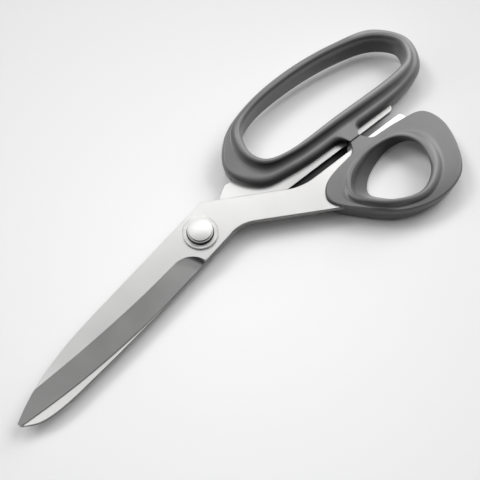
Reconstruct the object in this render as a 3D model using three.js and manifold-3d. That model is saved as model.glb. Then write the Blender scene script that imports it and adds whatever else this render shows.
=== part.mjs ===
// Dressmaking scissors: two steel blades on a tension-adjusted pivot, with a long finger bow
// and a raked thumb bow moulded over their tangs. Millimetres, +Z up, closed as at rest.
// Origin: the pivot axis, on the surface that the scissors lie on. Blades point to -X,
// bows to +X; the finger bow is on the +Y side and the thumb bow on the -Y side.
import * as THREE from 'three';
import { mergeVertices } from 'three/addons/utils/BufferGeometryUtils.js';
import Module from 'manifold-3d';

// Blades, measured from the pivot axis
const bladeReach = 95.5; // to the tips
const bladeThickness = 2.4;
const bladeGap = 0.2; // between the inner faces
const tipOffset = 0.3; // tips sit this far to the thumb side of the axis
const tipBluntHeight = 1.2; // height of the thumb blade's blunt tip
const heelReach = 6.5; // to the end of both cutting edges
const edgeStraightReach = 20; // to where a cutting edge starts to curve in
const edgeLandWidth = 0.3; // steel left at a cutting edge
const thumbSpineOffset = 8.1;
const thumbEdgeOffset = 8.7;
const thumbSpineStraightReach = 46;
const fingerSpineOffset = 9.0;
const fingerEdgeOffset = 7.8;
const fingerTaperReach = 34; // to where the finger blade's spine starts to fall
const fingerNoseHeelReach = 76; // to where its blunt nose starts
const fingerNoseHeelOffset = 7.3;
const fingerNoseReach = 88; // to the nose itself
const fingerNoseOffset = 6.2;
const fingerNoseRadius = 12;
const bevelHeelOffset = 1.0; // top of the ground bevel, at its heel
const bevelRiseWidth = 5.5; // from there to where the bevel runs out at the spine
const bevelRunoutReach = 81.8;
const plungeRadius = 9.3; // round end of the ground bevel
const edgeCurve = 2.05; // powers of the curved stretches
const spineCurve = 2.6;
const bevelCurve = 1.7;

// Tangs
const handleAngle = -9.8; // degrees from the blades to the handles
const splitOffset = 8.0; // middle of the slot between the tangs, from the pivot axis
const slotWidth = 3.3;
const tangOverreach = 4.5; // how far both tangs run on past the thumb hole
const tangEndRadius = 2.6;
const thumbShoulderReach = 9.3; // end of the thumb blade's straight spine
const shoulderRadius = 3.2;
const neckAngle = -39.6; // degrees from the blades to the thumb blade's neck
const neckWidth = 10.6;
const neckBlendRadius = 22; // radius from the neck into the slot edge
const heelBlendRadius = 15; // radius from the heel into the neck
const neckInsertLength = 6; // how far the neck's lower edge runs on inside the thumb bow
const fingerThroatReach = 11.5;
const fingerThroatOffset = 3.0;
const throatRadius = 5;
const fingerTangReach = 19.5; // along the handles
const fingerTangOffset = 10.2; // across the handles
const tangCornerRadius = 2;
const tangCoverThickness = 0.9; // least plastic between a tang and its bow's liner
const tangInsertDepth = 2.9; // tang hidden in the bow beside the slot

// Bows
const bowClearance = 0.25; // around tangs and liners
const fingerStripWidth = 2.35; // bare tang beside the plastic
const thumbStripWidth = 1.85;
const fingerHoleReach = 35.3; // along the handles
const fingerHoleLength = 74.9;
const fingerHoleWidth = 23.4;
const fingerLinerThickness = 3.0; // thickness of the liner
const fingerLobeWidth = 12.6; // walls around the finger hole
const fingerUpperWallWidth = 4.25;
const fingerEndWallWidth = 5.2;
const fingerLowerWallWidth = 8.35;
const thumbHoleReach = 55;
const thumbHoleLength = 32.5;
const thumbHoleWidth = 24.1;
const thumbHoleRakeLength = 6.9; // the thumb hole's foot lies this much further along the handles
const thumbHoleNarrowingWidth = 2.6; // and is this much smaller
const thumbLinerThickness = 2.9;
const thumbLinerUpperThickness = 1.2; // the thumb hole's liner is thin beside the tang
const thumbLobeWidth = 9.7; // walls around the thumb hole
const thumbUpperWallWidth = 3.6;
const thumbEndWallWidth = 14.1;
const thumbLowerWallWidth = 7.2;
const fingerTiltReach = 45; // where the finger bow's underside begins to rise, along and across the handles
const fingerTiltOffset = 4.5;
const fingerTiltAlong = 0.045; // its rise per mm
const fingerTiltAcross = 0.13;
const thumbTiltReach = 62; // and the thumb bow's
const thumbTiltAlong = 0.1;
const underRadius = 2; // rounding under a bow
const edgeRadius = 0.8; // and of its flange's edge
const wallHeight = 7.8; // heights of a bow's outer wall, flange and rims
const flangeEdgeHeight = 9.7;
const flangeTopHeight = 10.5;
const flangeInnerHeight = 10.1;
const fingerRimHeight = 13.2;
const thumbRimHeight = 12.8;
const thumbRimLowHeight = 11.2;
const linerFootHeight = 0.5;
const linerRadius = 1.3; // rounding of a liner's foot and rim
const stopReach = 70; // middle of the two stops, along the handles
const stopOffset = 0.5; // their meeting line, from the middle of the slot
const stopGap = 0.3;
const stopFaceWidth = 4.6; // width of a stop at its face
const stopRootWidth = 12.5; // and where it leaves the bow
const stopFootHeight = 1.6;
const stopTopHeight = 9.4;
const stopRadius = 1.4;
const slotFloorReach = 36; // plastic that closes the slot from below, along the handles
const slotFloorLength = 26.5;
const slotFloorOverhang = 2.4; // how far it shows past the finger tang
const slotFloorFootHeight = 0.8;
const slotFloorRadius = 0.8;
const roundShare = 0.6; // most of a narrow wall that such a rounding takes
const wallTaper = 0.14; // share of its body's width that a bow's outer wall leans in by at its foot
const crownShare = 0.5; // where the flange's crown lies across a bow's body
const footShare = 0.4; // where a liner's foot, lip and crest lie across it
const lipShare = 0.36;
const crestShare = 0.66;

// Pivot
const pivotClearance = 0.08; // around the screw
const shankRadius = 3.2;
const threadRadius = 2.6;
const nutRadius = 6.3;
const nutHeight = 2.9;
const nutChamferWidth = 0.5;
const notchWidth = 1.8;
const notchLength = 2.2;
const notchDepth = 1.2;
const springRadius = 5.6;
const springThickness = 0.6;
const springHeight = 1.1;
const washerRadius = 6.85;
const washerThickness = 0.8;
const washerTeeth = 60;
const toothDepth = 0.35;
const neckHeight = 1.4;
const neckRadius = 3.9;
const collarRadius = 4.8;
const collarTopRadius = 4.45;
const collarHeight = 0.7;
const collarBevelHeight = 0.3;
const grooveRadius = 4.15; // between the collar and the dome
const grooveHeight = 0.6;
const domeRadius = 4.52;
const domeSideHeight = 0.45;
const domeEdgeAngle = 34; // degrees, slope of the dome at its edge

// Facets
const arcStep = 12; // degrees
const curveSteps = 18; // along a blade's curved edge
const loopSteps = 72; // around a bow
const turnSteps = 48; // around the pivot
const domeSteps = 8; // up the screw's dome
const overrunLength = 1; // how far a cutting tool passes a face
const mitreShare = 0.5; // keeps a grown outline's sharp corners short

const wasm = await Module();
wasm.setup();

// Levels worked out from the sizes above
const fingerBladeFoot = nutHeight + springHeight;
const fingerBladeTop = fingerBladeFoot + bladeThickness;
const thumbBladeFoot = fingerBladeTop + bladeGap;
const thumbBladeTop = thumbBladeFoot + bladeThickness;
const washerTop = thumbBladeTop + washerThickness;

// Lines across and along the handles, in the handles' own frame
const fingerSlotEdge = -splitOffset + slotWidth / 2;
const thumbSlotEdge = -splitOffset - slotWidth / 2;
const fingerPlasticEdge = fingerSlotEdge + fingerStripWidth;
const thumbPlasticEdge = thumbSlotEdge - thumbStripWidth;
const tangReach = thumbHoleReach + thumbHoleLength + tangOverreach;

const { lerp, degToRad } = THREE.MathUtils;

// Solids and meshes

function toSolid(geometry) {
  const bare = geometry.clone();
  bare.deleteAttribute('normal');
  bare.deleteAttribute('uv');
  const merged = mergeVertices(bare);
  const mesh = new wasm.Mesh({
    numProp: 3,
    vertProperties: new Float32Array(merged.attributes.position.array),
    triVerts: new Uint32Array(merged.index.array),
  });
  return new wasm.Manifold(mesh);
}

function toGeometry(solid) {
  const mesh = solid.getMesh();
  const geometry = new THREE.BufferGeometry();
  geometry.setAttribute('position', new THREE.BufferAttribute(mesh.vertProperties, 3));
  geometry.setIndex(new THREE.BufferAttribute(mesh.triVerts, 1));
  geometry.computeVertexNormals();
  return geometry;
}

// Skin over rows of points: joined back to the first row, or closed with a cap at each end
function skin(rows, closed) {
  const count = rows[0].length;
  const points = rows.flat();
  const faces = [];
  const last = closed ? rows.length : rows.length - 1;
  for (let row = 0; row < last; row += 1) {
    const next = (row + 1) % rows.length;
    for (let i = 0; i < count; i += 1) {
      const j = (i + 1) % count;
      faces.push(row * count + i, row * count + j, next * count + j);
      faces.push(row * count + i, next * count + j, next * count + i);
    }
  }
  if (!closed) {
    const ends = [0, rows.length - 1];
    for (const row of ends) {
      const middle = new THREE.Vector3();
      rows[row].forEach((point) => middle.add(point));
      points.push(middle.divideScalar(count));
      for (let i = 0; i < count; i += 1) {
        const j = (i + 1) % count;
        const edge = [row * count + i, row * count + j];
        if (row === 0) edge.reverse();
        faces.push(...edge, points.length - 1);
      }
    }
  }
  let volume = 0;
  for (let i = 0; i < faces.length; i += 3) {
    const [a, b, c] = [points[faces[i]], points[faces[i + 1]], points[faces[i + 2]]];
    volume += a.dot(new THREE.Vector3().crossVectors(b, c));
  }
  if (volume < 0) faces.reverse();
  const geometry = new THREE.BufferGeometry().setFromPoints(points);
  geometry.setIndex(faces);
  return geometry;
}

function plate(outline, foot, top) {
  const geometry = new THREE.ExtrudeGeometry(new THREE.Shape(outline), {
    depth: top - foot,
    bevelEnabled: false,
  });
  return geometry.translate(0, 0, foot);
}

function turned(profile) {
  const points = profile.map(([radius, height]) => new THREE.Vector2(radius, height));
  return new THREE.LatheGeometry(points, turnSteps).rotateX(Math.PI / 2);
}

// Outlines

// A point turned about the pivot axis by an angle in degrees
function turnedBy(x, y, angle) {
  return new THREE.Vector2(x, y).rotateAround(new THREE.Vector2(), degToRad(angle));
}

const handlePoint = (along, across) => turnedBy(along, across, handleAngle);

// Where the line through a at an angle crosses the line through b at another, angles in degrees
function crossing(a, angleA, b, angleB) {
  const directionA = turnedBy(1, 0, angleA);
  const directionB = turnedBy(1, 0, angleB);
  const distance = b.clone().sub(a).cross(directionB) / directionA.cross(directionB);
  return a.clone().addScaledVector(directionA, distance);
}

// Closed outline through [corner, radius] pairs, each corner rounded as far as its sides allow
function rounded(corners) {
  const outline = [];
  corners.forEach(([corner, radius], i) => {
    const [before] = corners.at(i - 1);
    const [after] = corners[(i + 1) % corners.length];
    const inward = before.clone().sub(corner);
    const outward = after.clone().sub(corner);
    const room = Math.min(inward.length(), outward.length()) / 2;
    inward.normalize();
    outward.normalize();
    const half = inward.angleTo(outward) / 2;
    const setback = Math.min(radius / Math.tan(half), room);
    const turn = Math.PI - 2 * half;
    if (setback === 0 || turn < degToRad(arcStep)) {
      outline.push(corner.clone());
      return;
    }
    const bisector = inward.clone().add(outward).normalize();
    const fillet = setback * Math.tan(half);
    const centre = corner.clone().addScaledVector(bisector, setback / Math.cos(half));
    const start = corner.clone().addScaledVector(inward, setback);
    const steps = Math.ceil(turn / degToRad(arcStep));
    const sense = Math.sign(outward.cross(inward));
    for (let step = 0; step <= steps; step += 1) {
      outline.push(start.clone().rotateAround(centre, (sense * turn * step) / steps));
    }
    outline.at(-1).copy(corner).addScaledVector(outward, fillet / Math.tan(half));
  });
  return outline;
}

// The same outline moved outwards by an amount
function grown(outline, amount) {
  const sense = THREE.ShapeUtils.isClockWise(outline) ? -1 : 1;
  return outline.map((point, i) => {
    const before = point.clone().sub(outline.at(i - 1)).normalize();
    const after = outline[(i + 1) % outline.length].clone().sub(point).normalize();
    const tangent = before.clone().add(after).normalize();
    const normal = new THREE.Vector2(tangent.y, -tangent.x).multiplyScalar(sense);
    return point.clone().addScaledVector(normal, amount / Math.max(tangent.dot(after), mitreShare));
  });
}

// Blades

// Share of the way along a curve that starts at one distance from the pivot and ends at another
function progress(x, start, end) {
  return THREE.MathUtils.clamp((-x - start) / (end - start), 0, 1);
}

function thumbSpineY(x) {
  const drop = progress(x, thumbSpineStraightReach, bladeReach) ** spineCurve;
  return lerp(thumbSpineOffset, tipBluntHeight - tipOffset, drop);
}

function thumbEdgeY(x) {
  return lerp(-thumbEdgeOffset, -tipOffset, progress(x, edgeStraightReach, bladeReach) ** edgeCurve);
}

function fingerEdgeY(x) {
  return lerp(fingerEdgeOffset, -tipOffset, progress(x, edgeStraightReach, bladeReach) ** edgeCurve);
}

// Height of the ground bevel's upper line above the axis, on the thumb blade's side
function bevelY(x) {
  const plungeCentre = -heelReach - plungeRadius;
  if (x > plungeCentre) {
    const across = Math.min(x - plungeCentre, plungeRadius);
    return -bevelHeelOffset - plungeRadius + Math.sqrt(plungeRadius ** 2 - across ** 2);
  }
  const share = (plungeCentre - x) / (bevelRunoutReach + plungeCentre);
  return -bevelHeelOffset + bevelRiseWidth * share ** bevelCurve;
}

// Points of a blade's edge from the pivot side to just short of the tip
function edgePoints(edgeY, start) {
  const points = [];
  for (let step = 0; step < curveSteps; step += 1) {
    const x = -lerp(start, bladeReach, Math.sin((step / curveSteps) * (Math.PI / 2)));
    points.push(new THREE.Vector2(x, edgeY(x)));
  }
  return points;
}

// Tool that grinds a blade's bevel. side is 1 for the thumb blade and -1 for the finger blade,
// face is the level of the blade's outer face and edge the level of its inner one.
function bevelTool(edgeY, side, face, edge) {
  const outwards = Math.sign(face - edge);
  const lift = face + outwards * overrunLength;
  const foot = edge + outwards * edgeLandWidth;
  const rows = [];
  for (let step = 0; step <= 2 * curveSteps; step += 1) {
    const share = 1 - Math.cos((step / (2 * curveSteps)) * (Math.PI / 2));
    const x = -lerp(heelReach, bladeReach + overrunLength, share);
    const y = edgeY(x) - side * edgeLandWidth;
    const top = side * Math.max(bevelY(x), side * y);
    const outer = y - side * overrunLength;
    const section = [[top, face], [top, lift], [outer, lift], [outer, foot], [y, foot]];
    rows.push(section.map(([across, height]) => new THREE.Vector3(x, across, height)));
  }
  return skin(rows, false);
}

function thumbOutline() {
  const shoulder = new THREE.Vector2(thumbShoulderReach, thumbSpineOffset);
  const slot = handlePoint(0, thumbSlotEdge);
  const acrossNeck = turnedBy(0, -neckWidth, neckAngle);
  const heel = new THREE.Vector2(0, -thumbEdgeOffset);
  const lowerNeck = shoulder.clone().add(acrossNeck);
  const bowEdge = handlePoint(thumbHoleReach - thumbLobeWidth, 0);
  const neckEnd = crossing(lowerNeck, neckAngle, bowEdge, handleAngle - 90);
  const insert = turnedBy(neckInsertLength, 0, neckAngle);
  const inner = thumbPlasticEdge - tangInsertDepth;
  const spine = edgePoints(thumbSpineY, thumbSpineStraightReach).reverse();
  const edge = edgePoints(thumbEdgeY, edgeStraightReach);
  return rounded([
    [new THREE.Vector2(-bladeReach, -tipOffset), 0],
    ...spine.map((point) => [point, 0]),
    [shoulder, shoulderRadius],
    [crossing(shoulder, neckAngle, slot, handleAngle), neckBlendRadius],
    [handlePoint(tangReach, thumbSlotEdge), tangEndRadius],
    [handlePoint(tangReach, inner), tangEndRadius / 2],
    [handlePoint(thumbHoleReach + thumbHoleLength / 2, inner - thumbHoleWidth / 2), 0],
    [neckEnd.add(insert), tangCornerRadius],
    [crossing(lowerNeck, neckAngle, heel, 0), heelBlendRadius],
    [new THREE.Vector2(-heelReach, -thumbEdgeOffset), 0],
    ...edge.map((point) => [point, 0]),
  ]);
}

function fingerOutline() {
  const spineHeel = new THREE.Vector2(0, -fingerSpineOffset);
  const slot = handlePoint(0, fingerSlotEdge);
  const inner = fingerPlasticEdge + tangInsertDepth;
  const centre = fingerHoleReach + fingerHoleLength / 2;
  const edge = edgePoints(fingerEdgeY, edgeStraightReach);
  return rounded([
    [new THREE.Vector2(-bladeReach, -tipOffset), 0],
    [new THREE.Vector2(-fingerNoseReach, -fingerNoseOffset), fingerNoseRadius],
    [new THREE.Vector2(-fingerNoseHeelReach, -fingerNoseHeelOffset), 0],
    [new THREE.Vector2(-fingerTaperReach, -fingerSpineOffset), 0],
    [crossing(spineHeel, 0, slot, handleAngle), heelBlendRadius],
    [handlePoint(tangReach, fingerSlotEdge), tangEndRadius],
    [handlePoint(tangReach, inner), tangEndRadius / 2],
    [handlePoint(centre, inner), 0],
    [handlePoint(centre, fingerTangOffset), 0],
    [handlePoint(fingerTangReach, fingerTangOffset), tangCornerRadius],
    [new THREE.Vector2(fingerThroatReach, fingerThroatOffset), throatRadius],
    [new THREE.Vector2(heelReach / 2, fingerEdgeOffset), throatRadius],
    [new THREE.Vector2(-heelReach, fingerEdgeOffset), 0],
    ...edge.map((point) => [point, 0]),
  ]);
}

// Bows

// Shapes of the holes and of the outsides, as shares of the half sizes of their boxes along and across the
// handles, from the end near the pivot round by the upper side
const fingerHoleShares = [
  [-1, -0.23], [-0.92, 0.52], [-0.7, 0.86], [-0.19, 1], [0.4, 0.83], [0.82, 0.4],
  [1, -0.3], [0.93, -0.84], [0.73, -1], [-0.08, -1], [-0.73, -0.98], [-0.93, -0.73],
];
const fingerOutsideShares = [
  [-1, -0.078], [-0.838, 0.556], [-0.506, 0.889], [-0.059, 1], [0.422, 0.875], [0.808, 0.589],
  [1, -0.133], [0.909, -0.761], [0.681, -0.967], [0.025, -1], [-0.519, -0.942], [-0.851, -0.758],
];
const thumbHoleShares = [
  [-1, 0.212], [-0.723, 0.668], [-0.292, 0.917], [0.182, 1], [0.674, 0.867], [0.926, 0.544],
  [1, 0.054], [0.852, -0.552], [0.575, -0.884], [0.194, -1], [-0.335, -0.734], [-0.778, -0.253],
];
const thumbOutsideShares = [
  [-1, 0.49], [-0.861, 0.805], [-0.389, 0.98], [0.041, 1], [0.52, 0.948], [0.883, 0.805],
  [1, 0.375], [0.918, -0.272], [0.691, -0.828], [0.258, -1], [-0.282, -0.759], [-0.716, -0.129],
];

// Points of a smooth closed curve through a shape, stretched to a box in the handles' frame
function boxLoop(shape, box) {
  const centre = box.getCenter(new THREE.Vector2());
  const half = box.getSize(new THREE.Vector2()).divideScalar(2);
  const control = shape.map(([along, across]) => {
    return new THREE.Vector3(centre.x + along * half.x, centre.y + across * half.y, 0);
  });
  const curve = new THREE.CatmullRomCurve3(control, true, 'centripetal');
  const points = curve.getPoints(loopSteps).slice(0, loopSteps);
  return points.map((point) => new THREE.Vector2(point.x, point.y));
}

// The same points with their outward normals; the loops run clockwise
function withNormals(loop) {
  return loop.map((place, i) => {
    const tangent = loop[(i + 1) % loopSteps].clone().sub(loop.at(i - 1)).normalize();
    return { place, normal: new THREE.Vector2(-tangent.y, tangent.x) };
  });
}

// Share of the way to a hole's upper side, from 0 to 1
const upperShare = (sample) => ((1 + sample.normal.y) / 2) ** 2;

const fingerHoleBox = new THREE.Box2(
  new THREE.Vector2(fingerHoleReach, fingerPlasticEdge + fingerLowerWallWidth),
  new THREE.Vector2(fingerHoleReach, fingerPlasticEdge + fingerLowerWallWidth)
    .add(new THREE.Vector2(fingerHoleLength, fingerHoleWidth)),
);
const fingerOutsideBox = new THREE.Box2(
  fingerHoleBox.min.clone().sub(new THREE.Vector2(fingerLobeWidth, fingerLowerWallWidth)),
  fingerHoleBox.max.clone().add(new THREE.Vector2(fingerEndWallWidth, fingerUpperWallWidth)),
);
const thumbHoleBox = new THREE.Box2(
  new THREE.Vector2(thumbHoleReach, thumbPlasticEdge - thumbUpperWallWidth - thumbHoleWidth),
  new THREE.Vector2(thumbHoleReach + thumbHoleLength, thumbPlasticEdge - thumbUpperWallWidth),
);
const thumbFootBox = thumbHoleBox.clone().translate(new THREE.Vector2(thumbHoleRakeLength, 0));
thumbFootBox.min.x += thumbHoleNarrowingWidth / 2;
thumbFootBox.max.sub(new THREE.Vector2(thumbHoleNarrowingWidth / 2, thumbHoleNarrowingWidth));
const thumbOutsideBox = new THREE.Box2(
  thumbHoleBox.min.clone().sub(new THREE.Vector2(thumbLobeWidth, thumbLowerWallWidth)),
  thumbHoleBox.max.clone().add(new THREE.Vector2(thumbEndWallWidth, thumbUpperWallWidth)),
);

// What makes up each bow: the hole by height, the outside, the liner's thickness, its rim's height and
// how far the underside is raised at a place in the handles' frame
const fingerHole = withNormals(boxLoop(fingerHoleShares, fingerHoleBox));
const fingerBow = {
  holeAt: () => fingerHole,
  outside: boxLoop(fingerOutsideShares, fingerOutsideBox),
  liner: () => fingerLinerThickness,
  rim: () => fingerRimHeight,
  raised(place) {
    const along = fingerTiltAlong * (place.x - fingerTiltReach);
    return Math.max(0, along + fingerTiltAcross * (place.y - fingerTiltOffset));
  },
};
const thumbBow = {
  holeAt(height) {
    const box = thumbFootBox.clone();
    box.min.lerp(thumbHoleBox.min, height / flangeInnerHeight);
    box.max.lerp(thumbHoleBox.max, height / flangeInnerHeight);
    return withNormals(boxLoop(thumbHoleShares, box));
  },
  outside: boxLoop(thumbOutsideShares, thumbOutsideBox),
  liner: (sample) => lerp(thumbLinerThickness, thumbLinerUpperThickness, upperShare(sample)),
  rim: (sample) => lerp(thumbRimHeight, thumbRimLowHeight, upperShare(sample)),
  raised: (place) => Math.max(0, thumbTiltAlong * (place.x - thumbTiltReach)),
};

// One row of a bow's surface, at a distance from its hole that may change around it
function holeRow(bow, level, distance, height = () => level) {
  return bow.holeAt(level).map((sample) => {
    const place = sample.place.clone().addScaledVector(sample.normal, distance(sample));
    const { x, y } = handlePoint(place.x, place.y);
    return new THREE.Vector3(x, y, height(sample));
  });
}

// A bow's body: a ring from the liner's bore, share 0, to the outside, share 1
function bowBody(bow) {
  const bodyRow = ([share, height, inset]) => {
    const bore = holeRow(bow, height, (sample) => bow.liner(sample) + bowClearance);
    return bore.map((inner, i) => {
      const { x, y } = handlePoint(bow.outside[i].x, bow.outside[i].y);
      const outer = new THREE.Vector3(x, y, height);
      const width = inner.distanceTo(outer);
      const point = inner.lerp(outer, share - Math.min(inset / width, roundShare));
      if (height < wallHeight) point.z += bow.raised(bow.outside[i]);
      return point;
    });
  };
  const profile = [
    [0, 0, 0],
    [1 - wallTaper, 0, underRadius],
    [1 - wallTaper, underRadius, 0],
    [1, wallHeight, 0],
    [1, flangeEdgeHeight, edgeRadius],
    [crownShare, flangeTopHeight, 0],
    [0, flangeInnerHeight, 0],
  ];
  return skin(profile.map(bodyRow), true);
}

// The soft liner of a bow: shares of its thickness, with heights over the foot or under the rim
function bowLiner(bow) {
  const share = (part) => (sample) => part * bow.liner(sample);
  const below = (part) => (sample) => bow.rim(sample) - part * linerRadius;
  const over = (part) => (sample) => linerFootHeight + part * linerRadius + bow.raised(sample.place);
  const rows = [
    holeRow(bow, linerFootHeight, share(1), over(0)),
    holeRow(bow, linerFootHeight, share(footShare), over(0)),
    holeRow(bow, linerFootHeight + linerRadius, share(0), over(1)),
    holeRow(bow, flangeInnerHeight - linerRadius, share(0)),
    holeRow(bow, flangeInnerHeight, share(lipShare), below(1)),
    holeRow(bow, flangeInnerHeight, share(crestShare), below(0)),
    holeRow(bow, flangeInnerHeight, share(1), below(1)),
    holeRow(bow, flangeInnerHeight, share(1)),
  ];
  return skin(rows, true);
}

// What a tang may not reach into: a bow's bore and some plastic around it
function boreTool(bow, cover) {
  const top = flangeInnerHeight + overrunLength;
  const distance = (sample) => bow.liner(sample) + bowClearance + cover;
  return toSolid(skin([holeRow(bow, -overrunLength, distance), holeRow(bow, top, distance)], false));
}

// One of the two stops that meet when the scissors close. side is 1 on the finger bow.
function stop(side, root) {
  const face = -splitOffset + stopOffset + (side * stopGap) / 2;
  const outline = rounded([
    [handlePoint(stopReach - stopFaceWidth / 2, face), stopRadius / 2],
    [handlePoint(stopReach + stopFaceWidth / 2, face), stopRadius / 2],
    [handlePoint(stopReach + stopRootWidth / 2, root), stopRadius],
    [handlePoint(stopReach - stopRootWidth / 2, root), stopRadius],
  ]);
  return plate(outline, stopFootHeight, stopTopHeight);
}

// Plastic of the finger bow that reaches under its tang and closes the slot from below
function slotFloor(root) {
  const edge = fingerSlotEdge - slotFloorOverhang;
  const end = slotFloorReach + slotFloorLength;
  const outline = rounded([
    [handlePoint(slotFloorReach, edge), slotFloorRadius],
    [handlePoint(end, edge), slotFloorRadius],
    [handlePoint(end, root), slotFloorRadius],
    [handlePoint(slotFloorReach, root), slotFloorRadius],
  ]);
  return plate(outline, slotFloorFootHeight, fingerBladeFoot);
}

function fingerTang(clearance) {
  const blank = toSolid(plate(grown(fingerOutline(), clearance), fingerBladeFoot, fingerBladeTop));
  return blank.subtract(boreTool(fingerBow, tangCoverThickness - clearance));
}

function thumbTang(clearance) {
  const blank = toSolid(plate(grown(thumbOutline(), clearance), thumbBladeFoot, thumbBladeTop));
  return blank.subtract(boreTool(thumbBow, tangCoverThickness - clearance));
}

function pivotHole() {
  const outline = [];
  for (let i = 0; i < turnSteps; i += 1) {
    outline.push(turnedBy(shankRadius + pivotClearance, 0, (360 * i) / turnSteps));
  }
  return toSolid(plate(outline, -overrunLength, washerTop + overrunLength));
}

function fingerBlade() {
  const tool = bevelTool(fingerEdgeY, -1, fingerBladeFoot, fingerBladeTop);
  return toGeometry(fingerTang(0).subtract(toSolid(tool)).subtract(pivotHole()));
}

function thumbBlade() {
  const tool = bevelTool(thumbEdgeY, 1, thumbBladeTop, thumbBladeFoot);
  return toGeometry(thumbTang(0).subtract(toSolid(tool)).subtract(pivotHole()));
}

function fingerBowBody() {
  const root = fingerPlasticEdge + fingerLowerWallWidth / 2;
  const body = toSolid(bowBody(fingerBow)).add(toSolid(stop(1, root))).add(toSolid(slotFloor(root)));
  return toGeometry(body.subtract(fingerTang(bowClearance)));
}

function thumbBowBody() {
  const root = thumbPlasticEdge - thumbUpperWallWidth / 2;
  const body = toSolid(bowBody(thumbBow)).add(toSolid(stop(-1, root)));
  return toGeometry(body.subtract(thumbTang(bowClearance)));
}

// Pivot

function pivotScrew() {
  const collarFoot = washerTop + neckHeight;
  const collarTop = collarFoot + collarHeight;
  const domeFoot = collarTop + grooveHeight;
  const capFoot = domeFoot + domeSideHeight;
  const profile = [
    [0, 0],
    [threadRadius, 0],
    [threadRadius, nutHeight],
    [shankRadius, nutHeight],
    [shankRadius, washerTop],
    [neckRadius, washerTop],
    [neckRadius, collarFoot],
    [collarRadius, collarFoot],
    [collarRadius, collarTop - collarBevelHeight],
    [collarTopRadius, collarTop],
    [grooveRadius, collarTop],
    [grooveRadius, domeFoot],
    [domeRadius, domeFoot],
    [domeRadius, capFoot],
  ];
  const edge = degToRad(domeEdgeAngle);
  const ball = domeRadius / Math.sin(edge);
  for (let step = 1; step <= domeSteps; step += 1) {
    const angle = edge * (1 - step / domeSteps);
    profile.push([ball * Math.sin(angle), capFoot + ball * (Math.cos(angle) - Math.cos(edge))]);
  }
  profile.at(-1)[0] = 0;
  return turned(profile);
}

function serratedWasher() {
  const outline = [];
  for (let i = 0; i < 2 * washerTeeth; i += 1) {
    const radius = washerRadius - (i % 2) * toothDepth;
    outline.push(turnedBy(radius, 0, (180 * i) / washerTeeth));
  }
  return toGeometry(toSolid(plate(outline, thumbBladeTop, washerTop)).subtract(pivotHole()));
}

function springWasher() {
  const bore = shankRadius + pivotClearance;
  const crown = fingerBladeFoot - springThickness;
  return turned([
    [bore, crown],
    [springRadius, nutHeight],
    [springRadius, nutHeight + springThickness],
    [bore, fingerBladeFoot],
    [bore, crown],
  ]);
}

function tensionNut() {
  const bore = threadRadius + pivotClearance;
  const ring = turned([
    [bore, 0],
    [nutRadius - nutChamferWidth, 0],
    [nutRadius, nutChamferWidth],
    [nutRadius, nutHeight],
    [bore, nutHeight],
    [bore, 0],
  ]);
  let nut = toSolid(ring);
  for (const side of [-1, 1]) {
    const notch = new THREE.BoxGeometry(notchLength, notchWidth, 2 * notchDepth);
    notch.translate(side * nutRadius, 0, 0);
    nut = nut.subtract(toSolid(notch));
  }
  return toGeometry(nut);
}

// Finishes

const steel = { color: 0xcfcdca, roughness: 0.34, metalness: 1 };
const polished = { color: 0xdedede, roughness: 0.12, metalness: 1 };
const grip = { color: 0x77767a, roughness: 0.62, metalness: 0 };
const soft = { color: 0x6c6b6f, roughness: 0.7, metalness: 0 };

const scissors = new THREE.Group();

function addPiece(name, geometry, finish) {
  const mesh = new THREE.Mesh(geometry, new THREE.MeshStandardMaterial(finish));
  mesh.name = name;
  scissors.add(mesh);
}

addPiece('finger_blade', fingerBlade(), steel);
addPiece('thumb_blade', thumbBlade(), steel);
addPiece('finger_bow_body', fingerBowBody(), grip);
addPiece('finger_bow_liner', bowLiner(fingerBow), soft);
addPiece('thumb_bow_body', thumbBowBody(), grip);
addPiece('thumb_bow_liner', bowLiner(thumbBow), soft);
addPiece('pivot_screw', pivotScrew(), polished);
addPiece('serrated_washer', serratedWasher(), steel);
addPiece('spring_washer', springWasher(), steel);
addPiece('tension_nut', tensionNut(), steel);

export default scissors;
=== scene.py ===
from math import acos, ceil, cos, hypot, pi, radians, sin, sqrt, tan

import bmesh
import bpy
from mathutils import Matrix, Vector
from mathutils.geometry import tessellate_polygon


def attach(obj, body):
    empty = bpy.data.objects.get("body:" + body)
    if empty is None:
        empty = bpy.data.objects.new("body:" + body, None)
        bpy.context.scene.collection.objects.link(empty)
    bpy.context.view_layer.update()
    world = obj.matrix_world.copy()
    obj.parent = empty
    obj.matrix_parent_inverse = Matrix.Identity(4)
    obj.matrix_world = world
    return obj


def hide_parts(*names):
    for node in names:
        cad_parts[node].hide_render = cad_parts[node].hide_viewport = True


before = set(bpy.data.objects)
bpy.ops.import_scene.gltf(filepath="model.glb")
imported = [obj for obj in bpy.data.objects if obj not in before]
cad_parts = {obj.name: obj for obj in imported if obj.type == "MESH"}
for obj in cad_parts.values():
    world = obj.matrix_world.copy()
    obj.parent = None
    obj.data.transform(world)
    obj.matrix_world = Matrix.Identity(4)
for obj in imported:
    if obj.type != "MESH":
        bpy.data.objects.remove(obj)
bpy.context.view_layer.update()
print("frame loaded:", ", ".join(sorted(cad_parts)))

scene = bpy.context.scene
scene.view_settings.view_transform = "Standard"
mm = 0.001  # all sizes below are in mm, the scene is in metres


# camera

cameraSetup = {
    "place": (-94.75, -102.55, 382.55),
    "aim": (0.25745, 0.22517, -0.93969),
    "lens": 80,
    "sensor": 36,
    "clip": (0.01, 20),  # metres
}

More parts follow.
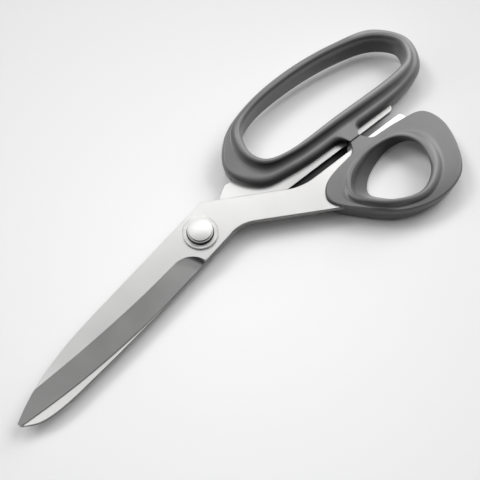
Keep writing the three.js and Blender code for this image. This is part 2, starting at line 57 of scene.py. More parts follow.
cameraData = bpy.data.cameras.new("camera")
cameraData.lens = cameraSetup["lens"]
cameraData.sensor_width = cameraSetup["sensor"]
cameraData.clip_start, cameraData.clip_end = cameraSetup["clip"]
camera = bpy.data.objects.new("camera", cameraData)
camera.location = Vector(cameraSetup["place"]) * mm
camera.rotation_mode = "QUATERNION"
camera.rotation_quaternion = Vector(cameraSetup["aim"]).to_track_quat("-Z", "Y")
scene.collection.objects.link(camera)
scene.camera = camera
print("camera set")


# small helpers

def mix(a, b, share):
    return a + (b - a) * share


def clamp(share):
    return max(0.0, min(1.0, share))


def ease(share):
    share = clamp(share)
    return share * share * (3 - 2 * share)


def smoothByAngle(piece, degrees):
    piece.data.shade_smooth()
    piece.data.set_sharp_from_angle(angle=radians(degrees))


weldGap, sharpAngle = 0.0005 * mm, 30


def meshPiece(name, points, faces, material, sharpDegrees=sharpAngle, paintedLight=None):
    mesh = bpy.data.meshes.new(name)
    mesh.from_pydata([Vector(point) * mm for point in points], [], faces)
    # an optional per-point share of painted light and shade, kept on the mesh for the grip materials
    if paintedLight:
        mesh.attributes.new("paintedLight", "FLOAT", "POINT").data.foreach_set("value", paintedLight)
    tidy = bmesh.new()
    tidy.from_mesh(mesh)
    bmesh.ops.remove_doubles(tidy, verts=tidy.verts, dist=weldGap)
    bmesh.ops.dissolve_degenerate(tidy, edges=tidy.edges, dist=weldGap)
    bmesh.ops.recalc_face_normals(tidy, faces=tidy.faces)
    tidy.to_mesh(mesh)
    tidy.free()
    mesh.materials.append(material)
    piece = bpy.data.objects.new(name, mesh)
    scene.collection.objects.link(piece)
    smoothByAngle(piece, sharpDegrees)
    return piece


def applyModifiers(piece):  # the evaluated shape becomes the piece's own plain mesh
    evaluated = piece.evaluated_get(bpy.context.evaluated_depsgraph_get())
    mesh = bpy.data.meshes.new_from_object(evaluated)
    piece.modifiers.clear()
    piece.data = mesh
    mesh.name = piece.name


def cutAway(piece, tool):
    cut = piece.modifiers.new("cut", "BOOLEAN")
    cut.operation, cut.solver, cut.object = "DIFFERENCE", "EXACT", tool
    applyModifiers(piece)
    bpy.data.objects.remove(tool)


def fit(piece, body, node):
    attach(piece, body)
    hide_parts(node)


def gridFaces(rows, columns, closeRows):  # each row is a closed ring
    faces = []
    for r in range(rows if closeRows else rows - 1):
        for c in range(columns):
            nextRow, nextColumn = (r + 1) % rows, (c + 1) % columns
            faces.append((r * columns + c, r * columns + nextColumn,
                          nextRow * columns + nextColumn, nextRow * columns + c))
    return faces


turnSegments = 128
cornerSigns = ((-1, -1), (1, -1), (1, 1), (-1, 1))


def ringPoints(radius, height, steps):
    turns = [2 * pi * k / steps for k in range(steps)]
    return [(radius * cos(turn), radius * sin(turn), height) for turn in turns]


def turnedPiece(name, profile, material, closed=False):
    points = [point for radius, height in profile for point in ringPoints(radius, height, turnSegments)]
    return meshPiece(name, points, gridFaces(len(profile), turnSegments, closed), material)


def arc(centre, radii, start, end, steps):  # part of an ellipse, from one turn in degrees to another
    turns = [radians(mix(start, end, k / steps)) for k in range(steps + 1)]
    return [(centre[0] + radii[0] * cos(t), centre[1] + radii[1] * sin(t)) for t in turns]


# materials

def newMaterial(name):
    material = bpy.data.materials.new(name)
    material.use_nodes = True
    tree = material.node_tree
    shader = next(n for n in tree.nodes if n.type == "BSDF_PRINCIPLED")
    return material, tree, shader


def setInputs(node, values):
    for name, value in values.items():
        node.inputs[name].default_value = value


def shaderNodes(tree, *kinds):
    return [tree.nodes.new("ShaderNode" + kind) for kind in kinds]


def linkAll(tree, *links):  # each link is a node, its output, a node, its input
    for source, output, target, entry in links:
        tree.links.new(source.outputs[output], target.inputs[entry])


def objectNoise(tree, scale, detail):  # noise on Object coordinates, scale per metre on each axis
    place, mapping, noise = shaderNodes(tree, "TexCoord", "Mapping", "TexNoise")
    setInputs(mapping, {"Scale": scale})
    setInputs(noise, {"Scale": 1.0, "Detail": detail, "Roughness": 0.55})
    linkAll(tree, (place, "Object", mapping, "Vector"), (mapping, "Vector", noise, "Vector"))
    return noise.outputs["Fac"]


def remap(tree, source, low, high, fromLow=0.3, fromHigh=0.7):
    node, = shaderNodes(tree, "MapRange")
    setInputs(node, {"From Min": fromLow, "From Max": fromHigh, "To Min": low, "To Max": high})
    tree.links.new(source, node.inputs["Value"])
    return node.outputs["Result"]


def twoTone(tree, source, first, second, fromLow=0.3, fromHigh=0.7):
    ramp, = shaderNodes(tree, "ValToRGB")
    stops = ramp.color_ramp.elements
    stops[0].position, stops[0].color = fromLow, (*first, 1)
    stops[1].position, stops[1].color = fromHigh, (*second, 1)
    tree.links.new(source, ramp.inputs["Fac"])
    return ramp.outputs["Color"]


def finishSurface(tree, shader, marks, markRough, markDepth, clouds, look):  # fine marks and clouds change the gloss
    rough, bump = shaderNodes(tree, "Math", "Bump")
    tree.links.new(remap(tree, marks, look["rough"] - markRough, look["rough"] + markRough), rough.inputs[0])
    tree.links.new(remap(tree, clouds, -look["cloudRough"], look["cloudRough"]), rough.inputs[1])
    tree.links.new(marks, bump.inputs["Height"])
    setInputs(bump, {"Distance": markDepth * mm, "Strength": 1.0})
    linkAll(tree, (rough, 0, shader, "Roughness"), (bump, "Normal", shader, "Normal"))


bowShadeReach = (18, 42)  # mm along x, where the painted shade on the steel near the bows starts and where it is darkest


def steelMaterial(name, look):
    material, tree, shader = newMaterial(name)
    setInputs(shader, {"Metallic": look.get("metallic", 1.0)})
    lines = objectNoise(tree, look["lineScale"], detail=3)
    clouds = objectNoise(tree, (look["cloudScale"],) * 3, detail=4)
    place, axes, bowShade = shaderNodes(tree, "TexCoord", "SeparateXYZ", "VectorMath")
    bowShade.operation = "SCALE"
    # the steel is painted darker towards the bows, as shade
    bowShadeFactor = remap(tree, axes.outputs["X"], 1, look.get("bowShade", 1), bowShadeReach[0] * mm, bowShadeReach[1] * mm)
    tree.links.new(twoTone(tree, clouds, look["dull"], look["bright"]), bowShade.inputs[0])
    tree.links.new(bowShadeFactor, bowShade.inputs["Scale"])
    linkAll(tree, (place, "Object", axes, "Vector"), (bowShade, "Vector", shader, "Base Color"))
    finishSurface(tree, shader, lines, look.get("lineRough", 0.0), look["lineDepth"], clouds, look)
    return material


def gripMaterial(name, look):
    material, tree, shader = newMaterial(name)
    clouds = objectNoise(tree, (look["cloudScale"],) * 3, detail=5)
    grain = objectNoise(tree, (look["grainScale"],) * 3, detail=3)
    paintedLight, patchy = shaderNodes(tree, "Attribute", "Math")
    paintedLight.attribute_name = "paintedLight"  # painted light and shade: places turned to the light are painted paler, creases and sides turned away from it darker
    tree.links.new(paintedLight.outputs["Fac"], patchy.inputs[0])
    tree.links.new(remap(tree, clouds, -look["patches"], look["patches"]), patchy.inputs[1])
    tree.links.new(twoTone(tree, patchy.outputs[0], look["dark"], look["light"], 0, 1), shader.inputs["Base Color"])
    # the gloss is lowered where the painted shade is darkest
    shine = remap(tree, paintedLight.outputs["Fac"], look["shadeGloss"], look["specular"], 0, look["glossFrom"])
    tree.links.new(shine, shader.inputs["Specular IOR Level"])
    finishSurface(tree, shader, grain, look["grainRough"], look["grainDepth"], clouds, look)
    return material


faceSteel = steelMaterial("face_steel", {  # faint polishing lines down the blade
    "bright": (0.715, 0.711, 0.707), "dull": (0.7, 0.696, 0.692), "cloudScale": 90, "cloudRough": 0.005,
    "rough": 0.28, "lineScale": (60, 2800, 2800), "lineDepth": 0.0001, "bowShade": 0.86,
})
honedSteel = steelMaterial("honed_steel", {  # inner face of the lower blade
    "bright": (0.61, 0.606, 0.602), "dull": (0.59, 0.586, 0.582), "cloudScale": 90, "cloudRough": 0.008,
    "rough": 0.34, "lineScale": (60, 2800, 2800), "lineDepth": 0.0001, "bowShade": 0.69,
})
groundSteel = steelMaterial("ground_steel", {  # grinding lines across the bevel
    "bright": (0.64, 0.636, 0.632), "dull": (0.62, 0.616, 0.612), "cloudScale": 120, "cloudRough": 0.01,
    "rough": 0.32, "lineRough": 0.015, "lineScale": (3200, 90, 90), "lineDepth": 0.0006,
})
edgeSteel = steelMaterial("edge_steel", {  # sheared sides of the plates: rougher, and painted dark as the shade along them
    "bright": (0.3, 0.297, 0.293), "dull": (0.26, 0.257, 0.253), "cloudScale": 250, "cloudRough": 0.03,
    "rough": 0.42, "lineRough": 0.04, "lineScale": (900, 900, 120), "lineDepth": 0.004,
})
domeSteel = steelMaterial("dome_steel", {  # satin plating
    "metallic": 0.5, "bright": (0.9, 0.896, 0.89), "dull": (0.87, 0.866, 0.86), "cloudScale": 300,
    "cloudRough": 0.02, "rough": 0.64, "lineRough": 0.02, "lineScale": (900, 900, 900), "lineDepth": 0.0005,
})
shadeSteel = steelMaterial("painted_shade_steel", {  # near-black steel: painted shade round the screw and in the slot
    "bright": (0.1, 0.098, 0.095), "dull": (0.06, 0.059, 0.057), "cloudScale": 400, "cloudRough": 0.04,
    "rough": 0.5, "lineRough": 0.04, "lineScale": (1500, 1500, 1500), "lineDepth": 0.002,
})
washerSteel = steelMaterial("lock_washer_steel", {
    "bright": (0.8, 0.795, 0.785), "dull": (0.7, 0.695, 0.69), "cloudScale": 400, "cloudRough": 0.015,
    "rough": 0.32, "lineRough": 0.03, "lineScale": (1500, 1500, 1500), "lineDepth": 0.004,
})
greyLook = {"dark": (0.018, 0.0175, 0.018), "specular": 0.5, "shadeGloss": 0.06, "glossFrom": 0.2, "patches": 0.03}
gripPlastic = gripMaterial("moulded_plastic", {
    **greyLook, "light": (0.3, 0.295, 0.299), "cloudScale": 110, "cloudRough": 0.02, "rough": 0.33,
    "grainRough": 0.03, "grainScale": 3600, "grainDepth": 0.004,
})
linerRubber = gripMaterial("liner_rubber", {
    **greyLook, "light": (0.32, 0.314, 0.32), "cloudScale": 130, "cloudRough": 0.015, "rough": 0.31,
    "grainRough": 0.02, "grainScale": 3000, "grainDepth": 0.003,
})
print("materials made")


# handles: s runs along the handles and n across them, turned from the blades by a small angle

handle = {"angle": -9.8, "split": -8.0, "slot": 3.3}
handleTurn = Matrix.Rotation(radians(handle["angle"]), 2)
fingerSlotEdge = handle["split"] + handle["slot"] / 2
thumbSlotEdge = handle["split"] - handle["slot"] / 2


def fromHandle(s, n):
    return handleTurn @ Vector((s, n))


def curveThrough(points, steps, closed=True):  # centripetal curve through the points
    count, loop = len(points), []
    if not closed:
        points = points + [points[-1] * 2 - points[-2], points[0] * 2 - points[1]]
    for i in range(count if closed else count - 1):
        before, start, end, after = (points[(i + k) % len(points)] for k in (-1, 0, 1, 2))
        d0, d1, d2 = ((b - a).length ** 0.5 for a, b in ((before, start), (start, end), (end, after)))
        leave = ((start - before) / d0 - (end - before) / (d0 + d1) + (end - start) / d1) * d1
        arrive = ((end - start) / d1 - (after - start) / (d1 + d2) + (after - end) / d2) * d1
        for k in range(steps):
            t = k / steps
            loop.append(start + leave * t + (3 * (end - start) - 2 * leave - arrive) * t ** 2
                        + (2 * (start - end) + leave + arrive) * t ** 3)
    return loop


denseSteps, relaxRounds = 128, 160


def relaxed(values):  # each value drawn towards its neighbours on the closed loop
    for _ in range(relaxRounds):
        values = [(values[i - 1] + 2 * values[i] + values[(i + 1) % len(values)]) / 4 for i in range(len(values))]
    return values


def bowLoop(knots, spanSteps):  # a smooth closed loop through the knots
    loop, picked = relaxed(curveThrough([Vector(knot) for knot in knots], denseSteps)), []
    for span, steps in enumerate(spanSteps):
        picked += loop[span * denseSteps:(span + 1) * denseSteps:denseSteps // steps]
    return picked


def knotSpread(values, spanSteps):  # a size given at each knot, run smoothly round the loop
    spread = []
    for i, steps in enumerate(spanSteps):
        spread += [mix(values[i], values[(i + 1) % len(values)], k / steps) for k in range(steps)]
    return relaxed(spread)


def loopNormals(loop):
    normals = []
    for i in range(len(loop)):
        along = (loop[(i + 1) % len(loop)] - loop[i - 1]).normalized()
        normals.append(along.orthogonal())
    return normals


def plateau(s, stop):  # share of the stop at a place along the handle
    rise = clamp((s - stop["from"]) / (stop["faceFrom"] - stop["from"]))
    fall = clamp((stop["to"] - s) / (stop["to"] - stop["faceTo"]))
    return (rise * fall) ** stop["hollow"]


def underside(bow, place):  # the bow's underside rises towards the back and the handle's end
    tilt = bow["tilt"]
    return max(0.0, tilt["along"] * (place.x - tilt["from"][0]) + tilt["across"] * (place.y - tilt["from"][1]))


stopBand, shelfRun = 2.5, 2  # how near to its stop's side a place has to be, and how soon the shelf is full


def bowColumns(bow):  # one record for each line across the bow's wall, with its sizes there
    columns, steps, stop = [], bow["spanSteps"], bow["stop"]
    topLoop, footLoop = bowLoop(bow["hole"], steps), bowLoop(bow["holeFoot"], steps)
    outside, normals = bowLoop(bow["outside"], steps), loopNormals(topLoop)
    sizes = {name: knotSpread(values, steps) for name, values in bow["sizes"].items()}
    for i, outer in enumerate(outside):
        column = {name: values[i] for name, values in sizes.items()}
        column.update(foot=footLoop[i], top=topLoop[i], normal=normals[i])
        column.update(lift=underside(bow, topLoop[i]), outerLift=underside(bow, outer))
        onSide = abs(outer.y - stop["side"]) < stopBand
        stopShare = plateau(outer.x, stop) if onSide else 0.0
        column["outer"] = Vector((outer.x, mix(outer.y, stop["face"], stopShare)))
        for name, value in (("side", bow["stopRound"]), ("drop", bow["stopRound"]), ("flangeLit", bow["stopLit"])):
            column[name] = mix(column[name], value, stopShare)
        shelf = bow["shelf"]
        onShelf = ease((outer.x - shelf["from"]) / shelfRun) * ease((shelf["to"] - outer.x) / shelfRun)
        column["shelf"] = onShelf if onSide else 0.0
        if column["shelf"]:  # painted shade beside the stop
            column["sideLit"] *= 1 - ease((outer.x - shelf["shadeFrom"]) / shelf["shadeReach"])
        bead = bow["beadPower"] / (column["seam"] - column["crest"])
        cove = column["cove"] / (column["ridge"] - column["seam"])
        column["middle"] = (bead * column["rim"] + cove * column["flat"]) / (bead + cove)
        column["thickness"] = max(bow["thinnest"], column["seam"] - bow["lip"])
        columns.append(column)
    return columns


def holePoint(bow, column, height):
    return column["foot"].lerp(column["top"], clamp(height / bow["rakeHeight"]))


def innerPoint(bow, column, distance, height, paintedLight):  # place at a distance out from the hole's wall
    place = fromHandle(*(holePoint(bow, column, height) + column["normal"] * distance))
    return (place.x, place.y, height), paintedLight


def seamAcross(bow, column, height):  # from the liner's seam straight to the bow's outside
    return column["outer"] - holePoint(bow, column, height) - column["normal"] * column["seam"]


def outerPoint(bow, column, inset, height, paintedLight):  # place at a distance in from the bow's outside
    across = seamAcross(bow, column, height)
    place = fromHandle(*(column["outer"] - across * min(1.0, inset / across.length)))
    return (place.x, place.y, height), paintedLight


def topHeight(bow, column, distance):  # the bow's upper face: flare, bead, hollow, flat
    crest, seam, rim, middle = column["crest"], column["seam"], column["rim"], column["middle"]
    if distance < crest:
        return rim - column["flare"] * (1 - sin(acos(1 - distance / crest)))
    if distance < seam:
        return rim - (rim - middle) * ((distance - crest) / (seam - crest)) ** bow["beadPower"]
    share = min(1.0, (distance - seam) / (column["ridge"] - seam))
    return mix(column["flat"], middle, (1 - share) ** column["cove"])


footSteps, wallSteps, crestSteps, beadSteps = 6, 5, 12, 14  # rows of a liner


def linerColumn(bow, column):
    thickness, seam, crest = column["thickness"], column["seam"], column["crest"]
    wallLit, crestLit, creaseLit = column["wallLit"], column["crestLit"], column["creaseLit"]
    footHeight, wallTop = bow["footHeight"] + column["lift"], column["rim"] - column["flare"]
    wallFoot = footHeight + bow["footRise"]
    section = [(thickness, footHeight, wallLit)]
    foot = arc((bow["footWidth"], wallFoot), (bow["footWidth"], bow["footRise"]), 270, 180, footSteps)
    section += [(distance, height, wallLit) for distance, height in foot]
    section += [(0, mix(wallFoot, wallTop, k / wallSteps), wallLit) for k in range(1, wallSteps + 1)]
    for k in range(1, crestSteps + 1):
        distance = crest * (1 - cos(pi / 2 * k / crestSteps))
        section.append((distance, topHeight(bow, column, distance), mix(wallLit, crestLit, ease(k / crestSteps))))
    for k in range(1, beadSteps + 1):
        distance = mix(crest, seam, k / beadSteps)
        section.append((distance, topHeight(bow, column, distance), mix(crestLit, creaseLit, k / beadSteps)))
    lipFoot = section[-1][1] - bow["lipDepth"]
    section += [(seam, lipFoot, 0), (thickness, lipFoot, 0)]
    return [innerPoint(bow, column, *place) for place in section]


flangeSteps, sideSteps, underSteps = 24, 14, 7  # rows of a body
flangeBunch, litFade = 1.3, 10  # rows are closer near the seam, and the flange's painted light fades down the side
rowGap = 0.02  # keeps rows in order where the underside comes up past them
underLoss, leastUnder = 0.45, 0.7  # a raised underside is rounded less


def bodyColumn(bow, column):
    seam, taper, sideLit = column["seam"], column["taper"], column["sideLit"]
    lift, outerLift = column["lift"], column["outerLift"]
    lipFoot = topHeight(bow, column, seam) - bow["lipDepth"] - bow["seamGap"]
    bore, lipEdge = column["thickness"] + bow["fit"], seam + bow["seamGap"]
    points = [innerPoint(bow, column, bore, lift, sideLit), innerPoint(bow, column, bore, lipFoot, 0),
              innerPoint(bow, column, lipEdge, lipFoot, 0)]
    span = seamAcross(bow, column, bow["rakeHeight"]).length
    side = min(column["side"], bow["sideMost"] * span)
    flat = span - side  # from the seam to where the side turns down
    for k in range(flangeSteps):
        distance = mix(bow["seamGap"], flat, (k / (flangeSteps - 1)) ** flangeBunch)
        paintedLight = mix(column["creaseLit"], column["flangeLit"], min(1.0, distance / (column["ridge"] - seam)))
        points.append(outerPoint(bow, column, span - distance, topHeight(bow, column, seam + distance), paintedLight))
    wallTop = topHeight(bow, column, seam + flat) - column["drop"]
    for k, (inset, height) in enumerate(arc((side, wallTop), (-side, column["drop"]), 90, 0, sideSteps)[1:]):
        points.append(outerPoint(bow, column, inset, height, mix(paintedLight, sideLit, ease((k + 1) / litFade))))
    parting, shelf, shelfTop = bow["parting"], column["shelf"], bow["shelfTop"]
    rise = max(leastUnder, bow["underRound"] - underLoss * outerLift)
    lowest = outerLift + rise
    wallRows = [(parting + bow["partingHalf"], 0), (parting, bow["partingDepth"]), (parting - bow["partingHalf"], 0),
                (shelfTop, 0)]
    for k, (height, notch) in enumerate(wallRows):
        height = max(height, lowest + rowGap * (len(wallRows) + 1 - k))
        points.append(outerPoint(bow, column, notch + taper * (wallTop - height), height, sideLit))
    underTang = min(0.0, bow["shelf"]["edge"] - column["outer"].y)
    foot = mix(taper * (wallTop - shelfTop), underTang, shelf)  # some of the foot reaches under the tang
    sideLit *= 1 - shelf * bow["shelf"]["slotShade"]  # painted shade in the slot
    for height in (max(shelfTop - rowGap, lowest + rowGap), max(shelfTop - bow["shelfSide"], lowest + rowGap / 2)):
        points.append(outerPoint(bow, column, foot, height, sideLit))
    under = min(bow["underRound"], bow["underMost"] * seamAcross(bow, column, 0).length)
    foot += (1 - shelf) * taper * max(0.0, shelfTop - lowest)
    for inset, height in arc((foot + under, lowest), (-under, rise), 0, -90, underSteps):
        points.append(outerPoint(bow, column, inset, height, sideLit))
    points.append(innerPoint(bow, column, seam, lift, sideLit))
    return points


def bowPiece(name, bow, columnOf, columns, material):
    lines = [columnOf(bow, column) for column in columns]
    rows = [[line[r] for line in lines] for r in range(len(lines[0]))]
    points = [place for row in rows for place, paintedLight in row]
    paintedLight = [paintedLight for row in rows for place, paintedLight in row]
    return meshPiece(name, points, gridFaces(len(rows), len(lines), True), material, sharpDegrees=50, paintedLight=paintedLight)


bowMoulding = {  # the same on both bows
    "beadPower": 2.2, "lipDepth": 0.5, "seamGap": 0.05, "fit": 0.25, "rakeHeight": 10.1, "sideMost": 0.92,
    "underRound": 2.0, "underMost": 0.4, "parting": 5.2, "partingHalf": 0.16, "partingDepth": 0.1, "stopRound": 0.35,
    # the stop's top is painted paler, as painted light
    "stopLit": 0.72, "shelfTop": 3.98, "shelfSide": 0.9,
}


# long finger bow: twelve knots round its hole and its outside, from the left end clockwise

fingerBow = {
    **bowMoulding,
    "hole": [(34.8, 13.4), (37.9, 22.2), (46.6, 26.1), (65.9, 27.75), (87.9, 25.8), (103.5, 20.7), (110.2, 12.5),
             (107.6, 6.2), (100.2, 4.35), (70, 4.35), (45.3, 4.6), (37.4, 7.5)],
    "holeFoot": [(34.6, 13.2), (37.4, 21.6), (45.8, 24.8), (64.6, 24.9), (85, 21.2), (100.5, 15.9), (107.8, 10.1),
                 (106.5, 5.6), (100.2, 4.35), (70, 4.35), (45.3, 4.6), (37.4, 7.5)],
    "outside": [(22.9, 13.3), (30.2, 24), (45.6, 30), (66.3, 32), (88.6, 29.75), (106.5, 24.6), (115.4, 11.6),
                (111.2, 0.3), (100.6, -3.4), (70.2, -4), (45, -2.95), (29.9, 0.85)],
    "spanSteps": [32] * 8 + [128, 128] + [32] * 2,
    "sizes": {
        "crest": [1.8, 1.6, 1.3, 1.2, 1.2, 1.2, 1.3, 1.5, 1.8, 1.7, 1.3, 1.5],
        "flare": [3.8, 2.6, 2.2, 2, 2, 2, 2.2, 3, 3.8, 3.8, 3.8, 3.8],
        "rim": [13.2] * 12,
        "seam": [3.4, 3.8, 1.9, 1.7, 1.7, 1.7, 1.9, 2.9, 3.9, 3.45, 2.4, 2.9],
        "ridge": [6, 5.6, 2.9, 2.2, 2.2, 2.2, 2.6, 4.4, 5.9, 5.6, 4.95, 7],
        "flat": [10.4, 11.6, 12.95, 13.1, 13.1, 13.1, 13, 12, 10.6, 10.4, 10.4, 10.4],
        "cove": [2.2, 2.2, 2, 2, 2, 2, 2, 2, 1.8, 1.8, 2, 3],
        "side": [1.2, 2.2, 2.6, 2.5, 2.5, 2.5, 2.6, 2.8, 2.6, 2.5, 2.4, 3],
        "drop": [1.8, 3, 4.5, 4.5, 4.5, 4.5, 4.5, 4.2, 3.9, 3.9, 3.8, 3.2],
        "taper": [0.14, 0.14, 0.3, 0.3, 0.3, 0.3, 0.3, 0.14, 0.1, 0.14, 0.14, 0.14],
        # the next five sizes are painted light and shade: paler where a part faces the light, darker in creases and
        # on sides in shade
        "wallLit": [0.54, 0.5, 0.45, 0.42, 0.34, 0.24, 0.48, 0.72, 0.66, 0.62, 0.55, 0.54],
        "crestLit": [0.72, 0.7, 0.35, 0.3, 0.3, 0.3, 0.8, 1, 1, 1, 0.78, 0.75],
        "creaseLit": [0.34, 0.58, 0.55, 0.42, 0.36, 0.36, 0.64, 0.72, 0.46, 0.16, 0.06, 0],
        "flangeLit": [0.54, 0.66, 0.95, 1, 1, 1, 0.95, 0.75, 0.7, 0.56, 0.66, 0.52],
        "sideLit": [0.48, 0.75, 1, 1, 1, 1, 0.95, 0.6, 0.34, 0.14, 0.14, 0.2],
    },
    "lip": 1.0, "thinnest": 1.1, "footHeight": 0.3, "footWidth": 0.8, "footRise": 0.8,
    "stop": {"from": 61, "faceFrom": 67.7, "faceTo": 72.3, "to": 77, "face": -7.35, "side": -4, "hollow": 4},
    # shelf: plastic under the finger tang, its sides painted dark as the shade in the slot and beside the stop
    "shelf": {"from": 35, "to": 68, "edge": -8.8, "shadeFrom": 57, "shadeReach": 6, "slotShade": 0.7},
    "tilt": {"from": (45, 4.5), "along": 0.045, "across": 0.13},
}

# thumb bow: its hole leans, and its bead runs out into the flange on the upper side

thumbBow = {
    **bowMoulding,
    "hole": [(55, -24.6), (59.5, -19.1), (66.5, -16.1), (74.2, -15.1), (82.2, -16.7), (86.3, -20.6), (87.5, -26.5),
             (85.1, -33.8), (80.6, -38), (74.4, -39.8), (65.6, -36.6), (58.4, -30.7)],
    "holeFoot": [(63.2, -26), (67.3, -21.2), (73.8, -18.7), (80.9, -17.7), (88.2, -19.1), (92, -22.4), (93.1, -27.7),
                 (90.9, -34.3), (86.8, -37.9), (81.1, -39.2), (73.1, -36.3), (66.5, -31)],
    "outside": [(45.3, -20.4), (49.2, -14.9), (62.5, -11.85), (74.6, -11.5), (88.1, -12.4), (98.3, -14.9),
                (101.6, -22.4), (99.3, -33.7), (92.9, -43.4), (80.7, -46.4), (65.5, -42.2), (53.3, -31.2)],
    "spanSteps": [32] + [64, 128, 64] + [32] * 8,
    "sizes": {
        "crest": [0.9, 1.8, 1.6, 0.9, 0.8, 0.9, 1.2, 1.2, 1.1, 1, 0.9, 0.8],
        "flare": [2.6, 2.6, 2, 1, 0.8, 0.8, 0.9, 1, 1.5, 2, 2.2, 2.4],
        "rim": [11.4, 10.6, 10.45, 10.45, 10.45, 10.8, 11.5, 12.1, 12.6, 12.8, 12.8, 12.6],
        "seam": [2.6, 2.8, 2.4, 1.6, 1.6, 2.4, 3.9, 3.6, 2.9, 2.5, 2.3, 2.2],
        "ridge": [5.5, 4, 3, 2.2, 2.4, 4.4, 7, 6.2, 5, 4.2, 4, 4],
        "flat": [10.45] * 12,
        "cove": [2.4, 2, 2, 2, 2, 2, 2.2, 2.2, 2, 1.9, 1.9, 2.2],
        "side": [1.4, 0.6, 0.6, 0.5, 0.5, 0.6, 0.7, 0.8, 1.2, 1.3, 1.1, 1.2],
        "drop": [2, 0.8, 0.8, 0.6, 0.6, 0.8, 0.9, 1, 1.8, 2, 1.8, 1.9],
        "taper": [0.05, 0.14, 0.14, 0.14, 0.14, 0.14, 0.14, 0.14, 0.14, 0.1, 0.03, -0.05],
        # the next five sizes are painted light and shade: paler where a part faces the light, darker in creases and
        # on sides in shade
        "wallLit": [0.41, 0.16, 0.09, 0.05, 0.02, 0.12, 0.4, 0.48, 0.48, 0.48, 0.48, 0.5],
        "crestLit": [0.24, 0.37, 0.55, 0.65, 0.65, 0.62, 0.5, 0.5, 0.6, 0.69, 0.69, 0.6],
        "creaseLit": [0.33, 0.66, 0.69, 0.69, 0.69, 0.69, 0.69, 0.69, 0.6, 0.44, 0.2, 0.08],
        "flangeLit": [0.5, 0.56, 0.65, 0.67, 0.65, 0.65, 0.66, 0.61, 0.44, 0.22, 0.3, 0.54],
        "sideLit": [0.16, 0.34, 0.54, 0.54, 0.54, 0.54, 0.54, 0.34, 0.2, 0.18, 0.16, 0.15],
    },
    "lip": 0.9, "thinnest": 1.0, "footHeight": 0.5, "footWidth": 0.9, "footRise": 1.3,
    "stop": {"from": 63.5, "faceFrom": 67.7, "faceTo": 72.6, "to": 77.5, "face": -7.65, "side": -11.6, "hollow": 2.4},
    "shelf": {"from": 0, "to": 0, "edge": 0, "slotShade": 0},  # none on this bow
    "tilt": {"from": (62, 0), "along": 0.1, "across": 0},
}

for side, bow in (("finger", fingerBow), ("thumb", thumbBow)):
    columns = bowColumns(bow)
    body = bowPiece(side + "_bow_grip", bow, bodyColumn, columns, gripPlastic)
    liner = bowPiece(side + "_bow_soft_liner", bow, linerColumn, columns, linerRubber)
    fit(body, side + "_half", side + "_bow_body")
    fit(liner, side + "_half", side + "_bow_liner")
    print(side, "bow:", len(columns), "columns")


# blades: flat plates with broken edges and a ground bevel

def crossing(point, degrees, otherPoint, otherDegrees):  # where two lines meet
    along, other = (Vector((cos(turn), sin(turn))) for turn in (radians(degrees), radians(otherDegrees)))
    return point + along * ((otherPoint - point).cross(other) / along.cross(other))


def roundedOutline(corners, stepDegrees=3):
    outline = []
    for i, (corner, radius) in enumerate(corners):
        back = corners[i - 1][0] - corner
        ahead = corners[(i + 1) % len(corners)][0] - corner
        room = min(back.length, ahead.length) / 2
        half = back.angle(ahead) / 2
        setback = min(radius / tan(half), room) if radius else 0
        turn = pi - 2 * half
        if setback == 0 or turn < radians(stepDegrees):
            outline.append(corner)
            continue
        back.normalize()
        ahead.normalize()
        centre = corner + (back + ahead).normalized() * (setback / cos(half))
        arm = corner + back * setback - centre
        sense = 1 if ahead.cross(back) > 0 else -1
        steps = ceil(turn / radians(stepDegrees))
        outline += [centre + Matrix.Rotation(sense * turn * k / steps, 2) @ arm for k in range(steps + 1)]
    return outline


def shrunk(outline, insets):  # each point moved in by its own amount
    area = sum(a.cross(b) for a, b in zip(outline, outline[1:] + outline[:1]))
    sense, moved = (1 if area > 0 else -1), []
    for i, inset in enumerate(insets):
        first = (outline[i] - outline[i - 1]).normalized()
        second = (outline[(i + 1) % len(outline)] - outline[i]).normalized()
        inward = (first.orthogonal() + second.orthogonal()).normalized() * sense
        share = max(0.5, first.orthogonal().dot(inward) * sense)  # sharp corners move no further
        moved.append(outline[i] + inward * (inset / share))
    return moved


def platePiece(name, outline, insets, foot, top, bore, material):
    chamfer = max(insets)
    small = shrunk(outline, insets)
    levels = [(small, foot), (outline, foot + chamfer), (outline, top - chamfer), (small, top)]
    points = [(p.x, p.y, height) for loop, height in levels for p in loop]
    count, holeSteps = len(outline), 96
    faces = gridFaces(len(levels), count, False)
    holeStart = len(points)
    points += ringPoints(bore, foot, holeSteps) + ringPoints(bore, top, holeSteps)
    faces += [tuple(holeStart + i for i in face) for face in gridFaces(2, holeSteps, False)]
    for start, hole in ((0, holeStart), (3 * count, holeStart + holeSteps)):
        order = list(range(start, start + count)) + list(range(hole, hole + holeSteps))
        rings = [[Vector(points[i]) for i in order[:count]], [Vector(points[i]) for i in order[count:]]]
        faces += [tuple(order[i] for i in triangle) for triangle in tessellate_polygon(rings)]
    return meshPiece(name, points, faces, material, sharpDegrees=20)


